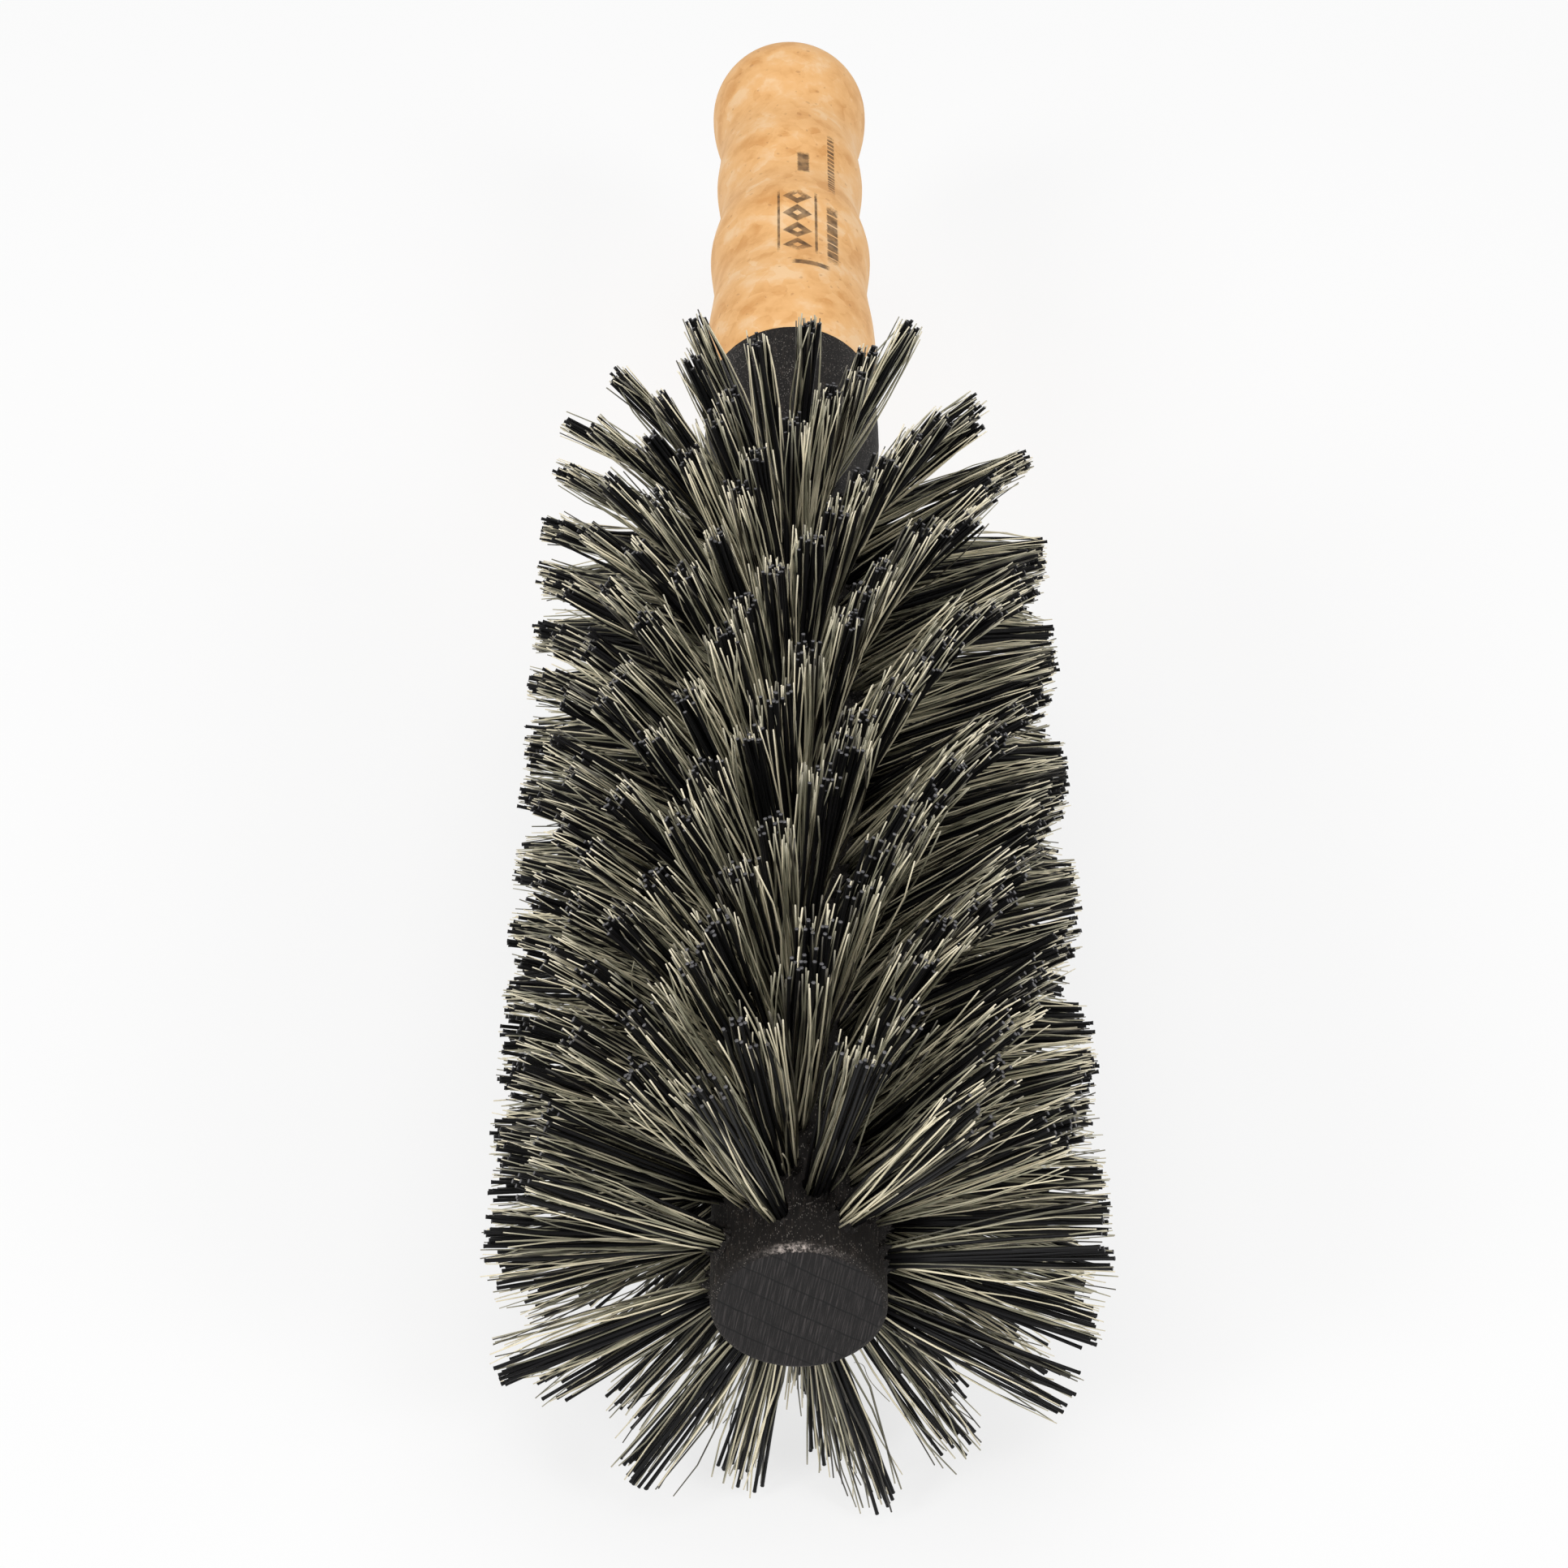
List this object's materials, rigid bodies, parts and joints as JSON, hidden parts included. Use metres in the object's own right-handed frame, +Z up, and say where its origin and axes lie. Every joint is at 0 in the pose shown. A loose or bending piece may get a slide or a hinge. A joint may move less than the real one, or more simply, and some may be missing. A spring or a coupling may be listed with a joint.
{
  "type": "round barrel brush",
  "caption": "Round hairdressing brush with boar and nylon tufts set in helical rows round a black wooden barrel, and a ridged cork grip with a ball end",
  "frame": {"origin": "centre of the sawn tip face of the barrel, on the brush's long axis", "axes": "+Y runs along the brush from the tip face to the grip, +Z is up with the brush lying on its bristles, +X is to the right seen from the tip"},
  "size_m": [0.076, 0.2955, 0.076],
  "materials": {
    "black_wood": "stained black, rough turned sides, sawn end grain",
    "cork": "sanded agglomerated cork, matte",
    "bristle": "mixed cream boar bristle and black nylon filament",
    "anchor_wire": "flat drawn wire"
  },
  "bodies": {
    "root": {"anchor_ring_01": "anchor_wire", "anchor_ring_02": "anchor_wire", "anchor_ring_03": "anchor_wire", "anchor_ring_04": "anchor_wire", "anchor_ring_05": "anchor_wire", "anchor_ring_06": "anchor_wire", "anchor_ring_07": "anchor_wire", "anchor_ring_08": "anchor_wire", "anchor_ring_09": "anchor_wire", "anchor_ring_10": "anchor_wire", "anchor_ring_11": "anchor_wire", "anchor_ring_12": "anchor_wire", "anchor_ring_13": "anchor_wire", "anchor_ring_14": "anchor_wire", "anchor_ring_15": "anchor_wire", "anchor_ring_16": "anchor_wire", "anchor_ring_17": "anchor_wire", "anchor_ring_18": "anchor_wire", "anchor_ring_19": "anchor_wire", "anchor_ring_20": "anchor_wire", "anchor_ring_21": "anchor_wire", "anchor_ring_22": "anchor_wire", "barrel_core": "black_wood", "cork_grip": "cork", "tuft_ring_01": "bristle", "tuft_ring_02": "bristle", "tuft_ring_03": "bristle", "tuft_ring_04": "bristle", "tuft_ring_05": "bristle", "tuft_ring_06": "bristle", "tuft_ring_07": "bristle", "tuft_ring_08": "bristle", "tuft_ring_09": "bristle", "tuft_ring_10": "bristle", "tuft_ring_11": "bristle", "tuft_ring_12": "bristle", "tuft_ring_13": "bristle", "tuft_ring_14": "bristle", "tuft_ring_15": "bristle", "tuft_ring_16": "bristle", "tuft_ring_17": "bristle", "tuft_ring_18": "bristle", "tuft_ring_19": "bristle", "tuft_ring_20": "bristle", "tuft_ring_21": "bristle", "tuft_ring_22": "bristle"}
  },
  "joints": []
}
